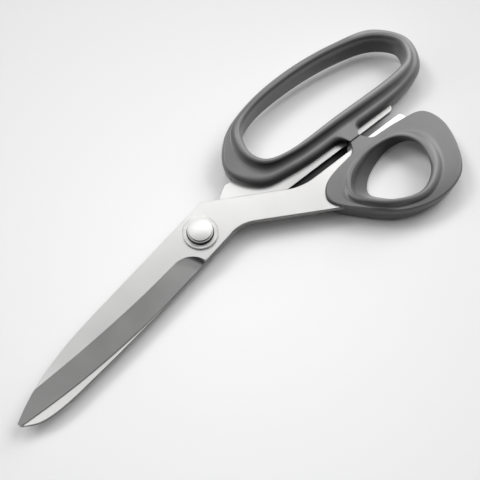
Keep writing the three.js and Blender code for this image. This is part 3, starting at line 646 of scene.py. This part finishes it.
blade = {
    "reach": 95.5, "thickness": 2.4, "gap": 0.2, "foot": 4.0, "tip": -0.3, "tipBlunt": 1.2, "heel": 6.5,
    "edgeStraight": 20, "land": 0.3, "edgeCurve": 2.05, "chamfer": 0.16, "bore": 3.28,
    "bevelHeel": -1.0, "bevelRise": 5.5, "bevelRunout": 81.8, "plungeRadius": 9.3, "bevelCurve": 1.7,
    "steps": 120, "plungeSteps": 40, "plungeHollow": 5.0, "acrossSteps": 18, "slotFrom": 32, "slotTo": 67,
    "tang": 92, "tangRound": 2.6, "heelRound": 15,
}
fingerFoot = blade["foot"]
fingerTop = fingerFoot + blade["thickness"]
thumbFoot = fingerTop + blade["gap"]
thumbTop = thumbFoot + blade["thickness"]
tipPoint = Vector((-blade["reach"], blade["tip"]))


def along(x, start, end):
    return clamp((-x - start) / (end - start))


def edgeLine(x, heelY):
    return mix(heelY, blade["tip"], along(x, blade["edgeStraight"], blade["reach"]) ** blade["edgeCurve"])


plungeCentre = Vector((-blade["heel"] - blade["plungeRadius"], blade["bevelHeel"] - blade["plungeRadius"]))
toolRoom = {"edge": 0.3, "side": 3, "rise": 6, "over": 1.0, "least": 0.02, "start": 0.001}  # clear of the plate


def bevelLine(x):  # upper border of the bevel, as on the thumb blade with its edge down
    share = max(0.0, (plungeCentre.x - x) / (plungeCentre.x + blade["bevelRunout"]))
    return blade["bevelHeel"] + blade["bevelRise"] * share ** blade["bevelCurve"]


def bevelTool(heelY, side, outerFace, innerFace, spineLine=None):  # what the grinding takes off, hollow at the heel
    up = 1 if outerFace > innerFace else -1
    radius, plunge, hollow = blade["plungeRadius"], blade["plungeSteps"], blade["plungeHollow"]
    land, across, steps = innerFace + up * blade["land"], blade["acrossSteps"], blade["steps"]
    room, over, roof = toolRoom["side"], toolRoom["over"], outerFace + up * toolRoom["rise"]
    xs = [plungeCentre.x + radius * cos(pi / 2 * k / plunge) - toolRoom["start"] for k in range(plunge)]
    xs += [mix(plungeCentre.x, -blade["reach"] - over, k / steps) for k in range(steps + 1)]
    points = []
    for x in xs:
        low = side * edgeLine(max(x, -blade["reach"]), heelY) - toolRoom["edge"]
        high = min(bevelLine(x), spineLine(x)) if spineLine else bevelLine(x)
        slope, border, reach = (outerFace - land) / (high - low), high, x - plungeCentre.x
        if reach > 0:
            rim = plungeCentre.y + sqrt(max(0.0, radius * radius - reach * reach))
            border = max(low + toolRoom["least"], rim)
        section, gap = [(low - room, land - room * slope)], outerFace - land - (border - low) * slope
        for k in range(across + 1):
            y = mix(low, border, sin(pi / 2 * k / across))
            plane = land + (y - low) * slope
            inside = max(0.0, radius - hypot(reach, y - plungeCentre.y)) if reach > 0 else hollow
            section.append((y, plane + gap * max(0.0, 1 - inside / hollow) ** 2))
        section += [(border + over, section[-1][1] + up * over), (border + over, roof), (low - room, roof)]
        points += [(x, side * y, z) for y, z in section]
    ring = len(section)
    faces = gridFaces(len(xs), ring, False)
    faces += [tuple(range(ring)), tuple(ring * (len(xs) - 1) + k for k in reversed(range(ring)))]
    return meshPiece("bevel_tool", points, faces, groundSteel)


def setFinishes(piece, *finishes):
    piece.data.materials.clear()
    for finish in finishes:
        piece.data.materials.append(finish)


faceSort = {"wall": 0.3, "level": 0.998, "bevelTo": -5, "flat": 0.9999, "sharp": 9}


def groundFaces(piece, outerSign):  # the ground bevel and the plate's sides get their own finish; the sides in the slot get the near-black steel as painted shade
    setFinishes(piece, piece.data.materials[0], groundSteel, edgeSteel, shadeSteel)
    for face in piece.data.polygons:
        flat = face.normal.z * outerSign
        ground = faceSort["wall"] < flat < faceSort["level"] and face.center.x < faceSort["bevelTo"] * mm
        inSlot = blade["slotFrom"] * mm < face.center.x < blade["slotTo"] * mm
        face.material_index = 1 if ground else (3 if inSlot else 2) if abs(flat) < faceSort["wall"] else 0
    smoothByAngle(piece, faceSort["sharp"])
    for face in piece.data.polygons:
        face.use_smooth = abs(face.normal.z) < faceSort["flat"]


def tangCorners(places):  # s, n and corner radius of what is hidden in the handle
    return [(fromHandle(s, n), radius) for s, n, radius in places]


def edgePoints(heelY):
    steps = blade["steps"]
    xs = [mix(-blade["heel"], -blade["reach"], k / steps) for k in range(1, steps)]
    return [(Vector((x, edgeLine(x, heelY))), 0) for x in xs]


edgeStart, edgeNear = 0.1, 0.05  # how a point of the cutting edge is told


def brokenEdges(outline, heelY, side):  # the cutting edge itself stays sharp
    insets = []
    for p in outline:
        onEdge = p.x < -blade["heel"] + edgeStart and side * p.y < side * edgeLine(p.x, heelY) + edgeNear
        insets.append(0.0 if onEdge else blade["chamfer"])
    return insets


def bladePiece(name, corners, heelY, side, foot, top, steel, spineLine=None):  # side is 1 for the upper blade
    outline = roundedOutline(corners)
    piece = platePiece(name, outline, brokenEdges(outline, heelY, side), foot, top, blade["bore"], steel)
    outerFace, innerFace = (top, foot) if side > 0 else (foot, top)
    cutAway(piece, bevelTool(heelY, side, outerFace, innerFace, spineLine))
    groundFaces(piece, side)
    return piece


# thumb-side blade, on top, with its neck and tang

thumbBlade = {
    "spine": 8.1, "edge": -8.7, "spineStraight": 46, "spineCurve": 2.6, "spineSteps": 80, "shoulder": 9.3,
    "shoulderRound": 3.2, "neckAngle": -39.6, "neckWidth": 10.6, "neckRound": 22, "insert": 6, "insertRound": 2,
    "plasticStart": 45.2,
    "hidden": [(92, -13.9, 1.2), (80, -12.4, 0), (66, -12.4, 4), (56.5, -15.8, 3), (52.3, -21, 3), (51, -26.5, 1)],
}


def thumbSpineLine(x):
    share = along(x, thumbBlade["spineStraight"], blade["reach"]) ** thumbBlade["spineCurve"]
    return mix(thumbBlade["spine"], blade["tip"] + blade["tipBlunt"], share)


spineSteps = thumbBlade["spineSteps"]
spineXs = [mix(-blade["reach"], -thumbBlade["spineStraight"], k / spineSteps) for k in range(spineSteps + 1)]
thumbSpine = [(Vector((x, thumbSpineLine(x))), 0) for x in spineXs]
shoulder = Vector((thumbBlade["shoulder"], thumbBlade["spine"]))
neckAngle = thumbBlade["neckAngle"]
neckTurn = Matrix.Rotation(radians(neckAngle), 2)
lowerNeck = shoulder + neckTurn @ Vector((0, -thumbBlade["neckWidth"]))
plasticStart = fromHandle(thumbBlade["plasticStart"], 0)
neckEnd = crossing(lowerNeck, neckAngle, plasticStart, handle["angle"] - 90)
neckInside = neckEnd + neckTurn @ Vector((thumbBlade["insert"], 0))
thumbCorners = [(tipPoint, 0)] + thumbSpine + [
    (shoulder, thumbBlade["shoulderRound"]),
    (crossing(shoulder, neckAngle, fromHandle(0, thumbSlotEdge), handle["angle"]), thumbBlade["neckRound"]),
    (fromHandle(blade["tang"], thumbSlotEdge), blade["tangRound"]),
] + tangCorners(thumbBlade["hidden"]) + [
    (neckInside, thumbBlade["insertRound"]),
    (crossing(lowerNeck, neckAngle, Vector((0, thumbBlade["edge"])), 0), blade["heelRound"]),
    (Vector((-blade["heel"], thumbBlade["edge"])), 0),
] + edgePoints(thumbBlade["edge"])

thumbPlate = bladePiece("thumb_blade_plate", thumbCorners, thumbBlade["edge"], 1, thumbFoot, thumbTop, faceSteel)
fit(thumbPlate, "thumb_half", "thumb_blade")
print("thumb blade:", len(thumbPlate.data.polygons), "faces")


# finger-side blade, below, its bevel underneath

fingerBlade = {
    "spine": -9.0, "edge": 7.8, "noseSteps": 12, "noseReach": 1.5,
    "nose": [(-91.5, -3.45), (-88.6, -5.0), (-83.6, -6.3), (-76, -7.3), (-68, -7.75), (-53, -8.45), (-34, -9.0)],
    "hidden": [(92, -1.55, 1.3), (44, -1.55, 6), (33.5, 2.2, 4), (30.3, 10.2, 2), (19.5, 10.2, 2)],
    "throat": (11.5, 3.0), "throatRound": 5, "shoulderX": 3.25, "shoulderRound": 5,
}

noseKnots = [tipPoint] + [Vector(knot) for knot in fingerBlade["nose"]]
noseCurve = curveThrough(noseKnots, fingerBlade["noseSteps"], closed=False)


def fingerSpineLine(x):  # as on the thumb blade, edge down
    return -min((p.y for p in noseCurve if p.x <= x + fingerBlade["noseReach"]), default=blade["tip"])


fingerHeel = crossing(Vector((0, fingerBlade["spine"])), 0, fromHandle(0, fingerSlotEdge), handle["angle"])
fingerCorners = [(p, 0) for p in noseCurve] + [
    (Vector(fingerBlade["nose"][-1]), 0),
    (fingerHeel, blade["heelRound"]),
    (fromHandle(blade["tang"], fingerSlotEdge), blade["tangRound"]),
] + tangCorners(fingerBlade["hidden"]) + [
    (Vector(fingerBlade["throat"]), fingerBlade["throatRound"]),
    (Vector((fingerBlade["shoulderX"], fingerBlade["edge"])), fingerBlade["shoulderRound"]),
    (Vector((-blade["heel"], fingerBlade["edge"])), 0),
] + edgePoints(fingerBlade["edge"])

fingerPlate = bladePiece("finger_blade_plate", fingerCorners, fingerBlade["edge"], -1, fingerFoot, fingerTop,
                         honedSteel, fingerSpineLine)
fit(fingerPlate, "finger_half", "finger_blade")
print("finger blade:", len(fingerPlate.data.polygons), "faces")


# pivot screw: shank, undercut neck, collar, groove and low dome

recessReach, recessSlack = 0.1, 0.02


def darkFaces(piece, inRecess):  # painted shade: the recess round the screw is coloured near-black
    setFinishes(piece, next(finish for finish in piece.data.materials if finish), shadeSteel)
    for face in piece.data.polygons:
        place = face.center / mm
        face.material_index = 1 if inRecess(place, hypot(place.x, place.y)) else 0


screw = {
    "end": [(0, 0.25), (0.9, 0.25), (1.1, 0.05), (2.3, 0.0), (2.6, 0.25)], "thread": 2.6, "threadTop": 2.9,
    "shank": 3.2, "neckFoot": 9.3, "neck": 3.9, "collarFoot": 11.2, "collar": 4.88, "collarTop": 11.8,
    "collarRound": 0.12, "collarBevel": 0.3, "shadeEdge": 4.54, "groove": 4.0, "grooveRise": 0.05, "domeFoot": 12.8,
    "dome": 4.52, "domeRound": 0.1, "domeSide": 0.14, "domeEdge": 34, "domeSteps": 30,
}
neckFoot, domeFoot, domeEdge = screw["neckFoot"], screw["domeFoot"], radians(screw["domeEdge"])
collarFoot, collarTop, collarRound = screw["collarFoot"], screw["collarTop"], screw["collarRound"]
screwProfile = screw["end"] + [
    (screw["thread"], screw["threadTop"]), (screw["shank"], screw["threadTop"]), (screw["shank"], neckFoot),
    (screw["neck"], neckFoot), (screw["neck"], collarFoot),
]
screwProfile += arc((screw["collar"] - collarRound, collarFoot + collarRound), (collarRound,) * 2, -90, 0, steps=5)
screwProfile += [
    # the collar's bevel ends where the painted shade in the groove begins
    (screw["collar"], collarTop - screw["collarBevel"]), (screw["shadeEdge"], collarTop),
    (screw["groove"], collarTop + screw["grooveRise"]), (screw["groove"], domeFoot),
    (screw["dome"] - screw["domeRound"], domeFoot), (screw["dome"], domeFoot + screw["domeRound"]),
]
capRadius, capFoot = screw["dome"] / sin(domeEdge), domeFoot + screw["domeSide"]
for k in range(screw["domeSteps"] + 1):  # part of a ball
    turn = domeEdge * (1 - k / screw["domeSteps"])
    screwProfile.append((capRadius * sin(turn), capFoot + capRadius * (cos(turn) - cos(domeEdge))))
pivotScrew = turnedPiece("pivot_screw_head", screwProfile, domeSteel)
# painted shade on the undercut neck and in the groove under the dome
darkFaces(pivotScrew, lambda place, radius: neckFoot - recessReach < place.z < collarFoot + recessSlack
          or radius < screw["shadeEdge"] and collarTop < place.z < domeFoot + recessSlack)
fit(pivotScrew, "thumb_half", "pivot_screw")
print("pivot screw made")


# serrated washer: a turned ring, its teeth and ticks set round it by geometry nodes

washer = {
    "teeth": 60, "outer": 6.5, "bore": 3.28, "foot": 9.0, "top": 9.8, "edge": 0.12, "dish": 5.1, "dishFloor": 9.3,
    "tooth": (0.7, 0.42, 0.62), "tick": (0.9, 0.2, 0.16),  # length, width, height
}


def ringOfTeeth(name, ring, count, measures, material):  # small tapered bars, instanced round the ring and joined
    tree = bpy.data.node_groups.new(name, "GeometryNodeTree")
    face, values = tree.interface, {"Count": count}
    face.new_socket("Geometry", in_out="INPUT", socket_type="NodeSocketGeometry")
    identifiers = {"Count": face.new_socket("Count", in_out="INPUT", socket_type="NodeSocketInt").identifier}
    for label, measure in measures.items():
        identifiers[label] = face.new_socket(label, in_out="INPUT", socket_type="NodeSocketFloat").identifier
        values[label] = measure * mm
    face.new_socket("Geometry", in_out="OUTPUT", socket_type="NodeSocketGeometry")
    node = tree.nodes.new
    given, result = node("NodeGroupInput"), node("NodeGroupOutput")
    circle, bar = node("GeometryNodeMeshCircle"), node("GeometryNodeMeshCone")
    place, size = node("ShaderNodeCombineXYZ"), node("ShaderNodeCombineXYZ")
    lift, square, shape = (node("GeometryNodeTransform") for _ in range(3))
    position, flat = node("GeometryNodeInputPosition"), node("ShaderNodeVectorMath")
    turn, spread = node("FunctionNodeAlignRotationToVector"), node("GeometryNodeInstanceOnPoints")
    join, real = node("GeometryNodeJoinGeometry"), node("GeometryNodeRealizeInstances")
    finish = node("GeometryNodeSetMaterial")
    bar.fill_type, flat.operation, turn.axis = "NGON", "MULTIPLY", "X"
    setInputs(bar, {"Vertices": 4, "Radius Top": 0.5, "Radius Bottom": 0.72, "Depth": 1.0})
    setInputs(square, {"Rotation": (0, 0, pi / 4)})
    setInputs(finish, {"Material": material})
    flat.inputs[1].default_value = (1, 1, 0)
    linkAll(tree, (given, "Count", circle, "Vertices"), (given, "Radius", circle, "Radius"),
            (given, "Height", place, "Z"), (circle, "Mesh", lift, "Geometry"), (place, "Vector", lift, "Translation"),
            (bar, "Mesh", square, "Geometry"), (given, "Length", size, "X"), (given, "Width", size, "Y"),
            (given, "Depth", size, "Z"), (square, "Geometry", shape, "Geometry"), (size, "Vector", shape, "Scale"),
            (position, "Position", flat, 0), (flat, "Vector", turn, "Vector"), (lift, "Geometry", spread, "Points"),
            (shape, "Geometry", spread, "Instance"), (turn, "Rotation", spread, "Rotation"),
            (spread, "Instances", join, "Geometry"), (given, "Geometry", join, "Geometry"),
            (join, "Geometry", real, "Geometry"), (real, "Geometry", finish, "Geometry"),
            (finish, "Geometry", result, "Geometry"))
    modifier = ring.modifiers.new(name, "NODES")
    modifier.node_group = tree
    for label, identifier in identifiers.items():
        modifier[identifier] = values[label]
    ring.update_tag()
    applyModifiers(ring)
    bpy.data.node_groups.remove(tree)


outer, edge, foot, top = washer["outer"], washer["edge"], washer["foot"], washer["top"]
washerProfile = [
    (washer["bore"], foot), (outer - edge, foot), (outer, foot + edge), (outer, top - edge), (outer - edge, top),
    (washer["dish"] + edge, top), (washer["dish"], washer["dishFloor"]), (washer["bore"], washer["dishFloor"]),
]
serratedWasher = turnedPiece("washer_ring", washerProfile, washerSteel, closed=True)
for name, radius, height, (length, width, depth) in (
        ("washer teeth", outer, (foot + top) / 2, washer["tooth"]),
        ("washer ticks", outer - washer["tick"][0] / 2, top, washer["tick"])):
    measures = {"Radius": radius, "Height": height, "Length": length, "Width": width, "Depth": depth}
    ringOfTeeth(name, serratedWasher, washer["teeth"], measures, washerSteel)
# painted shade in the washer's dish round the screw
darkFaces(serratedWasher, lambda place, radius: radius < washer["dish"] + recessReach
          and place.z > washer["dishFloor"] - recessReach)
smoothByAngle(serratedWasher, sharpAngle)
fit(serratedWasher, "thumb_half", "serrated_washer")
print("washer:", len(serratedWasher.data.polygons), "faces")


# spring washer and tension nut, under the finger blade

spring = {"bore": 3.28, "outer": 5.6, "foot": 2.9, "thickness": 0.6, "top": 4.0, "edge": 0.12, "steps": 8,
          "hollow": 0.4}
springEdge, springRim = spring["foot"] + spring["thickness"], spring["outer"] - spring["edge"]


def springFace(fromRadius, fromHeight, toRadius, toHeight):  # slightly hollow cone
    shares = [k / spring["steps"] for k in range(spring["steps"] + 1)]
    bends = [mix(share, 0.5 - 0.5 * cos(pi * share), spring["hollow"]) for share in shares]
    return [(mix(fromRadius, toRadius, a), mix(fromHeight, toHeight, b)) for a, b in zip(shares, bends)]


springProfile = springFace(spring["bore"], spring["top"] - spring["thickness"], springRim, spring["foot"])
springProfile += [(spring["outer"], spring["foot"] + spring["edge"]), (spring["outer"], springEdge - spring["edge"])]
springProfile += springFace(springRim, springEdge, spring["bore"], spring["top"])
springWasher = turnedPiece("spring_washer_cone", springProfile, washerSteel, closed=True)
fit(springWasher, "finger_half", "spring_washer")

nut = {
    "bore": 2.68, "outer": 6.3, "height": 2.9, "chamfer": 0.5, "round": 0.2, "notchWidth": 1.8, "notchLength": 2.2,
    "notchDepth": 1.2, "notchFrom": -1, "notchRound": 0.5, "recess": 4.0, "recessDepth": 0.2, "recessSlope": 0.2,
    "countersink": 0.3,
}
nutFace, nutRound = nut["recessDepth"], nut["round"]
nutProfile = [(nut["bore"] + nut["countersink"], nutFace), (nut["recess"], nutFace),
              (nut["recess"] + nut["recessSlope"], 0.0)]
nutProfile += arc((nut["outer"] - nut["chamfer"], nut["chamfer"]), (nut["chamfer"],) * 2, -90, 0, steps=6)
nutProfile += arc((nut["outer"] - nutRound, nut["height"] - nutRound), (nutRound,) * 2, 0, 90, steps=4)
nutProfile += [(nut["bore"], nut["height"]), (nut["bore"], nutFace + nut["countersink"])]
tensionNut = turnedPiece("tension_nut_ring", nutProfile, domeSteel, closed=True)
for side in (-1, 1):
    corners = [Vector((side * nut["outer"] + sx * nut["notchLength"] / 2, sy * nut["notchWidth"] / 2))
               for sx, sy in cornerSigns]
    notchOutline = roundedOutline([(corner, nut["notchRound"]) for corner in corners], stepDegrees=15)
    count = len(notchOutline)
    notchPoints = [(p.x, p.y, z) for z in (nut["notchFrom"], nut["notchDepth"]) for p in notchOutline]
    notchFaces = gridFaces(2, count, False) + [tuple(range(count)), tuple(reversed(range(count, 2 * count)))]
    cutAway(tensionNut, meshPiece("notch_tool", notchPoints, notchFaces, domeSteel))
smoothByAngle(tensionNut, sharpAngle)
fit(tensionNut, "tension_nut", "tension_nut")
print("spring washer and tension nut made")


# pale floor with a painted pool of light, a little darker away from the middle, and a soft overhead sky that is
# bright on one side

floorLook = {"middle": (10, -11), "size": 16000, "bright": 0.93, "dim": 0.78, "near": 30, "far": 150, "rough": 0.9,
             "specular": 0.1}

floorHalf = floorLook["size"] / 2
floorMaterial, floorTree, floorShader = newMaterial("floor_paper")
setInputs(floorShader, {"Roughness": floorLook["rough"], "Specular IOR Level": floorLook["specular"]})
coordinates, offset = shaderNodes(floorTree, "TexCoord", "VectorMath")
offset.operation = "DISTANCE"
offset.inputs[1].default_value = (floorLook["middle"][0] * mm, floorLook["middle"][1] * mm, 0)
linkAll(floorTree, (coordinates, "Object", offset, 0))
shade = remap(floorTree, offset.outputs["Value"], 0, 1, floorLook["near"] * mm, floorLook["far"] * mm)
floorTree.links.new(twoTone(floorTree, shade, (floorLook["bright"],) * 3, (floorLook["dim"],) * 3, 0, 1),
                    floorShader.inputs["Base Color"])
floorPoints = [(sx * floorHalf, sy * floorHalf, 0) for sx, sy in cornerSigns]
floor = meshPiece("floor", floorPoints, [(0, 1, 2, 3)], floorMaterial)

studioPanels = [  # soft round panels of sky: degrees from overhead, bearing, half width, brightness
    (6, 120, 10, 1.0), (18, 135, 10, 4.1), (18, 180, 10, 0.6), (18, 225, 10, 0.8), (28, 120, 10, 3.8),
    (28, 180, 10, 1.2), (28, 270, 10, 1.0), (28, 0, 10, 3.1), (28, 30, 10, 0.9), (28, 60, 10, 1.3),
    (38, 103, 11, 13.6), (38, 51, 11, 8.2), (38, 26, 11, 2.9), (38, 0, 11, 4.9), (38, 334, 11, 5.5),
    (50, 0, 16, 4.0), (50, 108, 16, 0.6), (50, 324, 16, 1.2), (68, 0, 22, 2.7), (68, 135, 22, 1.4),
    (68, 315, 22, 0.6),
]
world = bpy.data.worlds.new("studio sky")
scene.world = world
world.use_nodes = True
skyTree = world.node_tree
background = next(n for n in skyTree.nodes if n.type == "BACKGROUND")
skyCoordinates, = shaderNodes(skyTree, "TexCoord")
skyLevel = None
for tilt, bearing, width, level in studioPanels:
    lean, total = shaderNodes(skyTree, "VectorMath", "Math")  # the panels are added up
    lean.operation = "DOT_PRODUCT"
    tilt, bearing = radians(tilt), radians(bearing)
    across = sin(tilt)
    lean.inputs[1].default_value = (across * cos(bearing), across * sin(bearing), cos(tilt))
    linkAll(skyTree, (skyCoordinates, "Generated", lean, 0))
    skyTree.links.new(remap(skyTree, lean.outputs["Value"], 0, level, cos(radians(width)), 1), total.inputs[0])
    total.inputs[1].default_value = 0
    if skyLevel:
        skyTree.links.new(skyLevel, total.inputs[1])
    skyLevel = total.outputs[0]
skyTree.links.new(skyLevel, background.inputs["Strength"])
background.inputs["Color"].default_value = (1, 1, 1, 1)
print("floor and light set")
